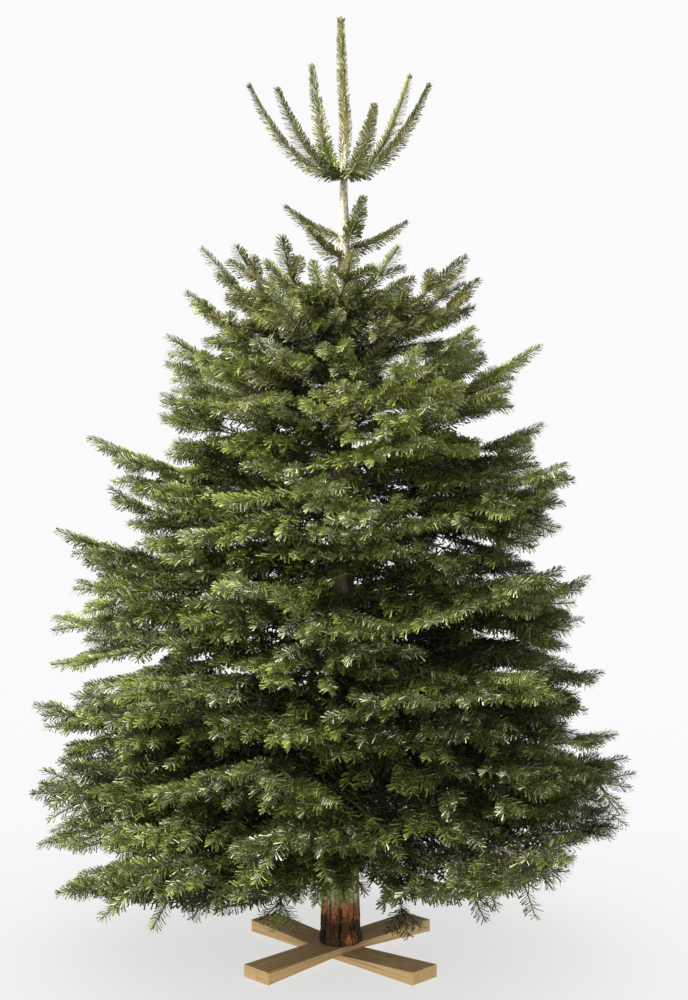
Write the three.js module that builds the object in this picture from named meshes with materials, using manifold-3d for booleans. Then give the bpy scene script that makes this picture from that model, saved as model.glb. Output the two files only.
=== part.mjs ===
// A cut fir tree about two metres tall, standing on a plain wooden cross.
//
// Lengths are millimetres, +Z is up, and the origin is the middle of the cross's flat underside.
// Heights on the tree are measured up from the cut at the foot of its trunk. Azimuths are turned
// about +Z from +X. Row 1 is the whorl of single shoots under the leader, and row 8 the lowest.

import * as THREE from 'three';
import { mergeVertices } from 'three/addons/utils/BufferGeometryUtils.js';
import loadManifold from 'manifold-3d';

const wasm = await loadManifold();
wasm.setup();

// Clearance that neighbouring pieces keep.
const GAP = 0.3;

// The stand: two boards halved into each other, screwed up into the trunk.
const BOARD_LENGTH = 500;
const BOARD_WIDTH = 76;
const BOARD_THICKNESS = 28;
const STAND_TURN = 45;
const SCREW_SPACING = 44;
const SCREW_RECESS = 1;
const SCREW_HEAD_RADIUS = 7;
const SCREW_HEAD_DEPTH = 5;
const SCREW_RIM = 1;
const SCREW_SHANK_RADIUS = 3;
const SCREW_LENGTH = 80;
const SCREW_SIDES = 12;

// The trunk, from its flat cut to the buds on the leader.
const TREE_HEIGHT = 2000;
const TRUNK_RADIUS = 43;
const ROOT_FLARE = 4;
const ROOT_FLARE_HEIGHT = 22;
const LEADER_FOOT = 1661;
const TRUNK_TOP_RADIUS = 9;
const LEADER_RADIUS = 7;
const LEADER_TIP_RADIUS = 5;
const BUD_RADIUS = 10;
const BUD_HEIGHT = 22;
const TRUNK_SWAY = 7;
const KINK_OFFSET = 7;
const KINK_HEIGHT = 1751;
const KINK_SPREAD = 32;
const TRUNK_SIDES = 10;
const TRUNK_STEPS = 24;
const STEP_CROWDING = 1.3;

// Single shoots: six in the top whorl, and four that stand on the bare stem below it.
const TOP_SHOOTS = [
  { azimuth: 176, out: 200, up: 187 },
  { azimuth: 226, out: 205, up: 155 },
  { azimuth: 290, out: 190, up: 116 },
  { azimuth: 350, out: 193, up: 180 },
  { azimuth: 40, out: 187, up: 222 },
  { azimuth: 118, out: 147, up: 245 },
];
const STEM_SHOOTS = [
  { azimuth: 176, height: 1531, out: 130, up: 54 },
  { azimuth: 234, height: 1490, out: 132, up: 42 },
  { azimuth: 298, height: 1522, out: 94, up: 78 },
  { azimuth: 6, height: 1506, out: 140, up: 47 },
];
const TOP_SHOOT_BEND = 2;
const STEM_SHOOT_BEND = 1.4;
const SHOOT_RADIUS = 19;
const SHOOT_FOOT_RADIUS = 2.5;
const SHOOT_BARE_SHARE = 0.05;
const SHOOT_FULL_SHARE = 0.4;
const SHOOT_THINNING = 0.25;
const SHOOT_TIP_SHARE = 0.6;
const SHOOT_TIP_START = 0.985;
const SHOOT_STEPS = 7;
const SHOOT_SIDES = 8;

// Rows of boughs. reach and rise are given on the right (+X) and left (-X) sides of the tree,
// rise being the climb from the trunk to the tips. depth is half the thickness of the foliage, and
// droop its fall sideways from the bough. The boughs of the two oldest rows are bare near the
// trunk, as the share of their length that bare gives, and the others are clothed to it.
const ROWS = [
  { row: 2, turn: 176, height: 1261, reach: [324, 304], rise: [222, 243], depth: 44, droop: 0, bare: 0 },
  { row: 3, turn: 2, height: 1104, reach: [432, 436], rise: [190, 208], depth: 58, droop: 0.04, bare: 0 },
  { row: 4, turn: 37, height: 938, reach: [560, 545], rise: [118, 168], depth: 62, droop: 0.06, bare: 0 },
  { row: 5, turn: 178, height: 760, reach: [548, 640], rise: [98, 128], depth: 64, droop: 0.06, bare: 0 },
  { row: 6, turn: 20, height: 590, reach: [594, 686], rise: [84, 84], depth: 60, droop: 0.06, bare: 0 },
  { row: 7, turn: 182, height: 430, reach: [652, 690], rise: [88, 92], depth: 60, droop: 0.08, bare: 0.32 },
  { row: 8, turn: 18, height: 270, reach: [738, 722], rise: [62, 52], depth: 62, droop: 0.16, bare: 0.34 },
];
const MASSES_PER_ROW = 5;
const BOUGH_BEND = 1.4;
const BOUGH_RADIUS = 10;
const BOUGH_END_RADIUS = 7;
const BOUGH_GRIP = 42;
const BOUGH_SIDES = 8;
const BOUGH_STEPS = 4;

// Each mass of foliage is a fan of fingers, narrow at the trunk and kept to its own sector.
const FINGERS = 8;
const FINGER_DEPTH = 0.42;
const POINTS_PER_FINGER = 3;
const FAN_LAYERS = 4;
const FAN_WIDTH = 0.98;
const FAN_SKEW = 0.32;
const FAN_BLUNTNESS = 0.6;
const SECTOR_FILL = 0.94;
const FINGER_LIFT = 22;
const LENGTH_SPREAD = 0.05;
const HEIGHT_SPREAD = 12;
const RANDOM_SEED = 11;

const bark = new THREE.MeshStandardMaterial({ color: '#6b5138', roughness: 0.9, metalness: 0 });
const boughBark = new THREE.MeshStandardMaterial({ color: '#5c4a38', roughness: 0.9, metalness: 0 });
const needles = new THREE.MeshStandardMaterial({ color: '#4f5a2e', roughness: 0.6, metalness: 0 });
const youngNeedles = new THREE.MeshStandardMaterial({ color: '#7f8556', roughness: 0.6, metalness: 0 });
const pine = new THREE.MeshStandardMaterial({ color: '#c9a878', roughness: 0.7, metalness: 0 });
const zinc = new THREE.MeshStandardMaterial({ color: '#a8aaab', roughness: 0.35, metalness: 1 });

THREE.MathUtils.seededRandom(RANDOM_SEED);

// A random number between -1 and 1, the same on every run.
function scatter() {
  return 2 * THREE.MathUtils.seededRandom() - 1;
}

// Closed solids for joining and cutting

function toSolid(geometry) {
  const bare = geometry.clone();
  bare.deleteAttribute('normal');
  bare.deleteAttribute('uv');
  const welded = mergeVertices(bare);
  const corners = welded.index.array;
  const faces = [];
  for (let i = 0; i < corners.length; i += 3) {
    const [a, b, c] = corners.slice(i, i + 3);
    if (a !== b && b !== c && c !== a) faces.push(a, b, c);
  }
  const vertProperties = Float32Array.from(welded.attributes.position.array);
  return new wasm.Manifold(new wasm.Mesh({ numProp: 3, vertProperties, triVerts: Uint32Array.from(faces) }));
}

function toGeometry(solid) {
  const mesh = solid.getMesh();
  const geometry = new THREE.BufferGeometry();
  geometry.setAttribute('position', new THREE.BufferAttribute(mesh.vertProperties, 3));
  geometry.setIndex(new THREE.BufferAttribute(mesh.triVerts, 1));
  geometry.computeVertexNormals();
  return geometry;
}

// Cuts each neighbour out of a piece. The neighbours are geometries in the same frame.
function cutRound(geometry, neighbours) {
  let solid = toSolid(geometry);
  for (const neighbour of neighbours) {
    solid = solid.subtract(toSolid(neighbour));
  }
  return toGeometry(solid);
}

// The trunk

// How far the trunk's middle strays sideways, in the plane that faces the viewer.
function trunkOffset(height) {
  const sway = TRUNK_SWAY * Math.sin(Math.PI * (height / TREE_HEIGHT) ** 3);
  const kink = KINK_OFFSET * Math.exp(-(((height - KINK_HEIGHT) / KINK_SPREAD) ** 2));
  return sway + kink;
}

function trunkRadius(height) {
  if (height > LEADER_FOOT) {
    const climbed = (height - LEADER_FOOT) / (TREE_HEIGHT - LEADER_FOOT);
    return THREE.MathUtils.lerp(LEADER_RADIUS, LEADER_TIP_RADIUS, climbed);
  }
  const taper = THREE.MathUtils.lerp(TRUNK_RADIUS, TRUNK_TOP_RADIUS, height / LEADER_FOOT);
  return taper + ROOT_FLARE * Math.exp(-height / ROOT_FLARE_HEIGHT);
}

function trunkGeometry(growth) {
  const profile = [new THREE.Vector2(0, -growth)];
  profile.push(new THREE.Vector2(trunkRadius(0) + growth, -growth));
  for (let step = 1; step <= TRUNK_STEPS; step += 1) {
    // Steps crowd together near the foot, where the trunk flares.
    const height = (TREE_HEIGHT - BUD_HEIGHT) * (step / TRUNK_STEPS) ** STEP_CROWDING;
    profile.push(new THREE.Vector2(trunkRadius(height) + growth, height));
  }
  profile.push(new THREE.Vector2(BUD_RADIUS + growth, TREE_HEIGHT - BUD_HEIGHT / 2));
  profile.push(new THREE.Vector2(0, TREE_HEIGHT + growth));
  const geometry = new THREE.LatheGeometry(profile, TRUNK_SIDES).rotateX(Math.PI / 2);
  const position = geometry.attributes.position;
  for (let i = 0; i < position.count; i += 1) {
    position.setX(i, position.getX(i) + trunkOffset(position.getZ(i)));
  }
  return geometry;
}

// Where a limb stands: its own frame has +X outwards and its foot on the trunk's middle.
function limbFrame(azimuth, height) {
  const turned = new THREE.Matrix4().makeRotationZ(THREE.MathUtils.degToRad(azimuth));
  return turned.setPosition(trunkOffset(height), 0, height);
}

const grownTrunk = trunkGeometry(GAP);

function trunkSeenFrom(frame) {
  return grownTrunk.clone().applyMatrix4(frame.clone().invert());
}

// Limbs

// The line of a bough or shoot: out from the trunk, climbing ever more steeply where bend is over 1.
class RisingLine extends THREE.Curve {
  constructor(out, up, bend) {
    super();
    this.out = out;
    this.up = up;
    this.bend = bend;
  }

  heightAt(distance) {
    return this.up * (Math.max(distance, 0) / this.out) ** this.bend;
  }

  getPoint(t) {
    return new THREE.Vector2(t * this.out, this.heightAt(t * this.out));
  }
}

// Bends a turned profile, whose heights run from 0 to 1, along a line.
function bendAlong(line, profile, sides) {
  const geometry = new THREE.LatheGeometry(profile, sides);
  const position = geometry.attributes.position;
  for (let i = 0; i < position.count; i += 1) {
    const along = position.getY(i);
    const across = position.getZ(i);
    const middle = line.getPoint(along);
    const slope = line.getTangent(along);
    position.setXYZ(i, middle.x - slope.y * across, -position.getX(i), middle.y + slope.x * across);
  }
  return geometry;
}

// A single shoot in its needles: slim at the foot, soon full, and blunt at the tip.
function shootGeometry(out, up, bend) {
  const profile = [new THREE.Vector2(0, 0), new THREE.Vector2(SHOOT_FOOT_RADIUS, 0)];
  for (let step = 1; step < SHOOT_STEPS; step += 1) {
    const along = step / SHOOT_STEPS;
    const clothed = THREE.MathUtils.smoothstep(along, SHOOT_BARE_SHARE, SHOOT_FULL_SHARE);
    const fullness = clothed * (1 - SHOOT_THINNING * along);
    const radius = THREE.MathUtils.lerp(SHOOT_FOOT_RADIUS, SHOOT_RADIUS, fullness);
    profile.push(new THREE.Vector2(radius, along));
  }
  profile.push(new THREE.Vector2(SHOOT_RADIUS * SHOOT_TIP_SHARE, SHOOT_TIP_START));
  profile.push(new THREE.Vector2(0, 1));
  return bendAlong(new RisingLine(out, up, bend), profile, SHOOT_SIDES);
}

// A bare bough from the trunk's middle to its end inside the foliage.
function boughGeometry(line, length, growth) {
  const end = length / line.out;
  const profile = [new THREE.Vector2(0, 0)];
  for (let step = 0; step <= BOUGH_STEPS; step += 1) {
    const part = step / BOUGH_STEPS;
    const radius = THREE.MathUtils.lerp(BOUGH_RADIUS, BOUGH_END_RADIUS, part);
    profile.push(new THREE.Vector2(radius + growth, end * part));
  }
  profile.push(new THREE.Vector2(0, end));
  return bendAlong(line, profile, BOUGH_SIDES);
}

// Foliage

// The fan's outline in the direction of an angle, where 0 points outwards along the bough.
function fanEdge(fan, angle) {
  const middle = (fan.inner + fan.reach) / 2;
  const half = (fan.reach - fan.inner) / 2;
  const finger = 1 - FINGER_DEPTH * (0.5 - 0.5 * Math.cos(FINGERS * angle));
  const width = Math.tan(fan.sector) * middle * FAN_WIDTH;
  const out = middle + half * Math.cos(angle) * finger;
  const side = width * Math.sin(angle) * (1 + FAN_SKEW * Math.cos(angle)) * finger;
  const limit = out * Math.tan(fan.sector);
  return new THREE.Vector2(out, THREE.MathUtils.clamp(side, -limit, limit));
}

// Which finger of the fan an angle falls on, counted round from the tip.
function fingerAt(angle) {
  const finger = Math.round((angle / (2 * Math.PI)) * FINGERS);
  return (finger + FINGERS) % FINGERS;
}

// A fan of foliage: a ball whose rings are drawn out to the fan's outline and laid on the bough.
function fanGeometry(fan) {
  const geometry = new THREE.SphereGeometry(1, FINGERS * POINTS_PER_FINGER, FAN_LAYERS);
  const position = geometry.attributes.position;
  const middle = new THREE.Vector2((fan.inner + fan.reach) / 2, 0);
  for (let i = 0; i < position.count; i += 1) {
    const spread = Math.hypot(position.getX(i), position.getZ(i)) ** FAN_BLUNTNESS;
    const angle = Math.atan2(-position.getZ(i), position.getX(i));
    const edge = fanEdge(fan, angle);
    const place = middle.clone().lerp(edge, spread);
    const lift = fan.lifts[fingerAt(angle)] * spread ** 2;
    const droop = fan.droop * Math.abs(place.y);
    const height = fan.line.heightAt(place.length()) + lift - droop + fan.depth * position.getY(i);
    position.setXYZ(i, place.x, place.y, height);
  }
  return geometry;
}

// A size that changes evenly from the right side of the tree to its left.
function aroundTree([right, left], azimuth) {
  const turn = Math.cos(THREE.MathUtils.degToRad(azimuth));
  return (right + left) / 2 + ((right - left) / 2) * turn;
}

// The sizes of one bough and its foliage: the row's own, with a little scatter.
function growBough(row, index) {
  const azimuth = row.turn + (360 / MASSES_PER_ROW) * index;
  const height = row.height + HEIGHT_SPREAD * scatter();
  const reach = aroundTree(row.reach, azimuth) * (1 - LENGTH_SPREAD * Math.abs(scatter()));
  const line = new RisingLine(reach, aroundTree(row.rise, azimuth), BOUGH_BEND);
  const sector = (Math.PI / MASSES_PER_ROW) * SECTOR_FILL;
  const lifts = Array.from({ length: FINGERS }, () => FINGER_LIFT * scatter());
  // The tip and the foot of the fan stay on the line of the bough.
  lifts[0] = 0;
  lifts[FINGERS / 2] = 0;
  const { depth, droop, bare } = row;
  return { azimuth, height, line, reach, sector, lifts, depth, droop, inner: bare * reach };
}

// Assembly

const group = new THREE.Group();
const tree = new THREE.Group();
const stand = new THREE.Group();
tree.position.z = BOARD_THICKNESS + GAP;
stand.rotation.z = THREE.MathUtils.degToRad(STAND_TURN);
group.add(tree, stand);

function addPiece(parent, name, geometry, material, frame) {
  const mesh = new THREE.Mesh(geometry, material);
  mesh.name = name;
  if (frame) frame.decompose(mesh.position, mesh.quaternion, mesh.scale);
  parent.add(mesh);
}

// The stand's two boards, each a side view with its notch, drawn out across the width.
function boardGeometry(notchFrom) {
  const end = BOARD_LENGTH / 2;
  const notch = BOARD_WIDTH / 2 + GAP;
  const waist = BOARD_THICKNESS / 2 + (notchFrom === 'top' ? -GAP / 2 : GAP / 2);
  const cutSide = notchFrom === 'top' ? BOARD_THICKNESS : 0;
  const plainSide = BOARD_THICKNESS - cutSide;
  const outline = new THREE.Shape();
  outline.moveTo(-end, plainSide);
  outline.lineTo(end, plainSide);
  outline.lineTo(end, cutSide);
  outline.lineTo(notch, cutSide);
  outline.lineTo(notch, waist);
  outline.lineTo(-notch, waist);
  outline.lineTo(-notch, cutSide);
  outline.lineTo(-end, cutSide);
  const geometry = new THREE.ExtrudeGeometry(outline, { depth: BOARD_WIDTH, bevelEnabled: false });
  return geometry.translate(0, 0, -BOARD_WIDTH / 2).rotateX(Math.PI / 2);
}

// A countersunk screw standing on its head, or with some growth the hole that it sits in.
function screwGeometry(growth, foot) {
  const head = SCREW_HEAD_RADIUS + growth;
  const shank = SCREW_SHANK_RADIUS + growth;
  const profile = [
    new THREE.Vector2(0, foot),
    new THREE.Vector2(head, foot),
    new THREE.Vector2(head, SCREW_RECESS + SCREW_RIM + growth),
    new THREE.Vector2(shank, SCREW_RECESS + SCREW_HEAD_DEPTH + growth),
    new THREE.Vector2(shank, SCREW_LENGTH - SCREW_HEAD_DEPTH + growth),
    new THREE.Vector2(0, SCREW_LENGTH + growth),
  ];
  return new THREE.LatheGeometry(profile, SCREW_SIDES).rotateX(Math.PI / 2);
}

const screwPlaces = [-SCREW_SPACING / 2, SCREW_SPACING / 2];
const screwHoles = screwPlaces.map((x) => screwGeometry(GAP, -SCREW_RECESS).translate(x, 0, 0));

function buildStand() {
  addPiece(stand, 'stand_lower_board', cutRound(boardGeometry('top'), screwHoles), pine);
  const upper = boardGeometry('bottom').rotateZ(Math.PI / 2);
  addPiece(stand, 'stand_upper_board', cutRound(upper, screwHoles), pine);
  screwPlaces.forEach((x, i) => {
    const frame = new THREE.Matrix4().makeTranslation(x, 0, 0);
    addPiece(stand, `stand_screw_${i + 1}`, screwGeometry(0, SCREW_RECESS), zinc, frame);
  });
}

function buildTrunk() {
  const holes = screwHoles.map((hole) => (
    hole.clone().rotateZ(stand.rotation.z).translate(0, 0, -tree.position.z)
  ));
  addPiece(tree, 'trunk', cutRound(trunkGeometry(0), holes), bark);
}

function buildShoot(name, { azimuth, height, out, up }, bend) {
  const frame = limbFrame(azimuth, height);
  const geometry = cutRound(shootGeometry(out, up, bend), [trunkSeenFrom(frame)]);
  addPiece(tree, name, geometry, youngNeedles, frame);
}

function buildRow(row) {
  for (let i = 0; i < MASSES_PER_ROW; i += 1) {
    const fan = growBough(row, i);
    const frame = limbFrame(fan.azimuth, fan.height);
    const neighbours = [trunkSeenFrom(frame)];
    if (row.bare > 0) {
      const length = fan.inner + BOUGH_GRIP;
      const bough = cutRound(boughGeometry(fan.line, length, 0), neighbours);
      addPiece(tree, `row${row.row}_bough_${i + 1}`, bough, boughBark, frame);
      neighbours.push(boughGeometry(fan.line, length + GAP, GAP));
    }
    addPiece(tree, `row${row.row}_foliage_${i + 1}`, cutRound(fanGeometry(fan), neighbours), needles, frame);
  }
}

buildStand();
buildTrunk();
TOP_SHOOTS.forEach((shoot, i) => {
  buildShoot(`top_shoot_${i + 1}`, { height: LEADER_FOOT, ...shoot }, TOP_SHOOT_BEND);
});
STEM_SHOOTS.forEach((shoot, i) => {
  buildShoot(`stem_shoot_${i + 1}`, shoot, STEM_SHOOT_BEND);
});
ROWS.forEach(buildRow);

export default group;
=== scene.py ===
import functools
import math
import random

import bmesh
import bpy
import numpy as np
from bpy.props import FloatProperty, FloatVectorProperty, IntProperty, PointerProperty
from mathutils import Matrix, Quaternion, Vector, noise


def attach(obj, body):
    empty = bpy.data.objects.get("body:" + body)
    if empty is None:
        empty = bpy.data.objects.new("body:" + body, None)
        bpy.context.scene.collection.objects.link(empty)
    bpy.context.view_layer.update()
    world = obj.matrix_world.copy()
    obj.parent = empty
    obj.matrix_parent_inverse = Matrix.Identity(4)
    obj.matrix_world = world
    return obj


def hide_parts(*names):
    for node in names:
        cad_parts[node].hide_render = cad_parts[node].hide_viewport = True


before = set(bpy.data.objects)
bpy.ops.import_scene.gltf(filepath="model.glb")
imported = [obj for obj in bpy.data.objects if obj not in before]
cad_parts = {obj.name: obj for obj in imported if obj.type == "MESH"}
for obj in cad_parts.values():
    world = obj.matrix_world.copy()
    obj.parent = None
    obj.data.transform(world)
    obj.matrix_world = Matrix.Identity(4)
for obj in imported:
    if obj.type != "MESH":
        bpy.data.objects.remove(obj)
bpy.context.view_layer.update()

bl_info = {
    "name": "Cut Christmas Tree",
    "version": (1, 0, 0),
    "blender": (4, 5, 0),
    "location": "View3D > Sidebar > Fir Tree",
    "description": "Grows a cut fir with its bark, boughs, twigs, needles and buds on a wooden cross",
    "category": "Add Mesh",
}

UP = Vector((0, 0, 1))
ROWS = (2, 3, 4, 5, 6, 7, 8)
BOUGHS_PER_ROW = 5
MASSES = range(1, BOUGHS_PER_ROW + 1)
# The rows above this one are young: clothed more densely, and on tan twigs.
FIRST_OLD_ROW = 4
# Rows with long, thick boughs, and those of them whose boughs are bare near the trunk.
LARGE_ROWS = (5, 6, 7, 8)
BARE_ROWS = (7, 8)
TOP_SHOOTS = tuple(f"top_shoot_{i}" for i in range(1, 7))
STEM_SHOOTS = tuple(f"stem_shoot_{i}" for i in range(1, 5))

# Reading the tree's frame

# A bough's foot is what lies this near to its innermost corner.
FOOT_DEPTH = 0.02


def node_points(name):
    """The corners of a CAD node, in metres."""
    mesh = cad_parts[name].data
    points = np.empty(len(mesh.vertices) * 3)
    mesh.vertices.foreach_get("co", points)
    return points.reshape(-1, 3)


def read_trunk():
    """Heights, middles and radii of the CAD trunk's rings, from the cut to the tip."""
    points = node_points("trunk")
    heights = np.round(points[:, 2], 4)
    levels, counts = np.unique(heights, return_counts=True)
    sides = np.bincount(counts).argmax()
    rings = []
    for level, count in zip(levels, counts):
        # The tops of the screw holes have other numbers of corners than the trunk's rings.
        if count == sides or level == levels[0]:
            ring = points[heights == level]
            middle = (ring[:, 0].min() + ring[:, 0].max()) / 2
            rings.append((level, middle, np.hypot(ring[:, 0] - middle, ring[:, 1]).max()))
    rings.append((levels[-1], rings[-1][1], 0.0))
    return np.array(rings)


TRUNK = read_trunk()
CUT_HEIGHT = TRUNK[0, 0]
TREE_TOP = TRUNK[-1, 0]


def trunk_middle(height):
    """Where the trunk's middle lies from left to right at a height."""
    return np.interp(height, TRUNK[:, 0], TRUNK[:, 1])


def trunk_radius(height):
    """The trunk's radius at a height."""
    return np.interp(height, TRUNK[:, 0], TRUNK[:, 2])


def read_bough(name, foot_name=None):
    """Where a bough of the CAD model leaves the trunk, and where its tip is."""
    points = node_points(name)
    out = np.hypot(points[:, 0] - trunk_middle(points[:, 2].mean()), points[:, 1])
    tip = points[out.argmax()]
    foot = points if foot_name is None else node_points(foot_name)
    near = np.hypot(foot[:, 0], foot[:, 1])
    foot = foot[near < near.min() + FOOT_DEPTH]
    foot_height = (foot[:, 2].min() + foot[:, 2].max()) / 2
    azimuth = math.atan2(tip[1], tip[0] - trunk_middle(foot_height))
    return {"azimuth": azimuth, "foot": foot_height, "reach": out.max(), "tip": tip[2]}


BOUGHS = {
    (row, i): read_bough(f"row{row}_foliage_{i}", f"row{row}_bough_{i}" if row in BARE_ROWS else None)
    for row in ROWS
    for i in MASSES
}


def read_row(row):
    """A row's turn and height, and its reach and climb as even changes from right to left."""
    boughs = [BOUGHS[row, i] for i in MASSES]
    basis = np.array([(1.0, math.cos(b["azimuth"])) for b in boughs])
    reach = np.linalg.lstsq(basis, np.array([b["reach"] for b in boughs]), rcond=None)[0]
    climb = np.linalg.lstsq(basis, np.array([b["tip"] - b["foot"] for b in boughs]), rcond=None)[0]
    foot = float(np.mean([b["foot"] for b in boughs]))
    return {"foot": foot, "turn": boughs[0]["azimuth"], "reach": reach, "climb": climb}


ROW_SIZES = {row: read_row(row) for row in ROWS}
WHORL_HEIGHT = min(node_points(name)[:, 2].min() for name in TOP_SHOOTS)

# Growing the tree

# How strongly boughs and upright shoots curve upwards: 1 is straight.
BOUGH_BEND = 1.4
TOP_SHOOT_BEND = 2.3
STEM_SHOOT_BEND = 1.8
# The angle of a side shoot from the shoot that carries it.
SIDE_ANGLE = math.radians(44)
# How strongly a limb turns back to point away from the trunk, year by year.
OUTWARD_PULL = 0.45
# How far to each side of its bough's direction a limb may grow.
SECTOR = math.radians(41)
# A limb whose next shoot would be shorter than this share of a full one ends there.
SHORTEST = 0.4
# How many years' shoots a bough of each row is made of, and how much its side limbs sag.
YEARS = {2: 4, 3: 5, 4: 6, 5: 7, 6: 7, 7: 8, 8: 8}
SAG = {2: 0.08, 3: 0.18, 4: 0.28, 5: 0.36, 6: 0.42, 7: 0.46, 8: 0.50}
# Small boughs between a row and the one above it: how far up between them they stand, how long
# they are beside the row's own, how far they are turned, as a share of their spacing, and how many.
BETWEEN = ((0.5, 0.93, 0.5, 5), (0.2, 0.62, 0.1, 7), (0.8, 0.58, 0.8, 7))
BETWEEN_TOP = ((0.05, 0.94, 0.5, 5), (0.2, 0.56, 0.1, 5))
# Small boughs where the trunk would show between the rows: row, azimuth in degrees, height,
# reach and climb.
FILLERS = (
    (5, 78, 0.985, 0.42, 0.02),
    (5, 104, 0.94, 0.42, 0.02),
    (3, 140, 1.25, 0.32, 0.10),
    (4, 128, 1.21, 0.36, 0.07),
    (4, 50, 1.07, 0.42, 0.05),
    (5, 218, 0.98, 0.44, 0.03),
)
# Side limbs that droop in front of the trunk's foot, by how far they stand to the right of it.
DROOPING = (-0.055, -0.035, -0.015, 0.01)
# Sprays that hang below the lowest row: azimuth in degrees, and distance from the trunk.
HANGING = (
    (-140, 0.42),
    (-127, 0.40),
    (-108, 0.34),
    (-70, 0.32),
    (-51, 0.38),
    (-15, 0.40),
    (25, 0.38),
    (62, 0.36),
    (100, 0.40),
    (140, 0.35),
    (178, 0.42),
)


def lowest_at(place):
    """How low a shoot may reach: the crown's uneven lower edge."""
    lowest = 0.135
    uneven = 0.04 * noise.noise(Vector((place.x * 8, place.y * 8, 0)))
    # The trunk's foot stays free at the front, and the edge rises to the right and to the front.
    free = 0.06 if abs(place.x) < 0.07 and place.y < 0 else 0
    right = min(1, max(0, (place.x - 0.34) / 0.12)) * 0.11 + 0.25 * max(0, place.x - 0.46)
    front = 0.3 * max(0, -place.y)
    return lowest + uneven + free + right + front


# What a shoot is unless it is noted otherwise.
USUAL_SHOOT = {
    # Where it begins and ends on a longer shoot that it is a part of.
    "part": (0.0, 1.0),
    # How far out it ends, from 0 at the trunk to 1 at the crown's surface.
    "share": 1.0,
    # How many needles it has, how large they are and how large its buds are, beside the usual.
    "kept": 1.0,
    "size": 1.0,
    "buds": 1.0,
    # The radius that its needles stand on.
    "core": 0.0012,
    # How much painted light its needles get: how much lighter they are dealt.
    "lit": 0.0,
}


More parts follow.
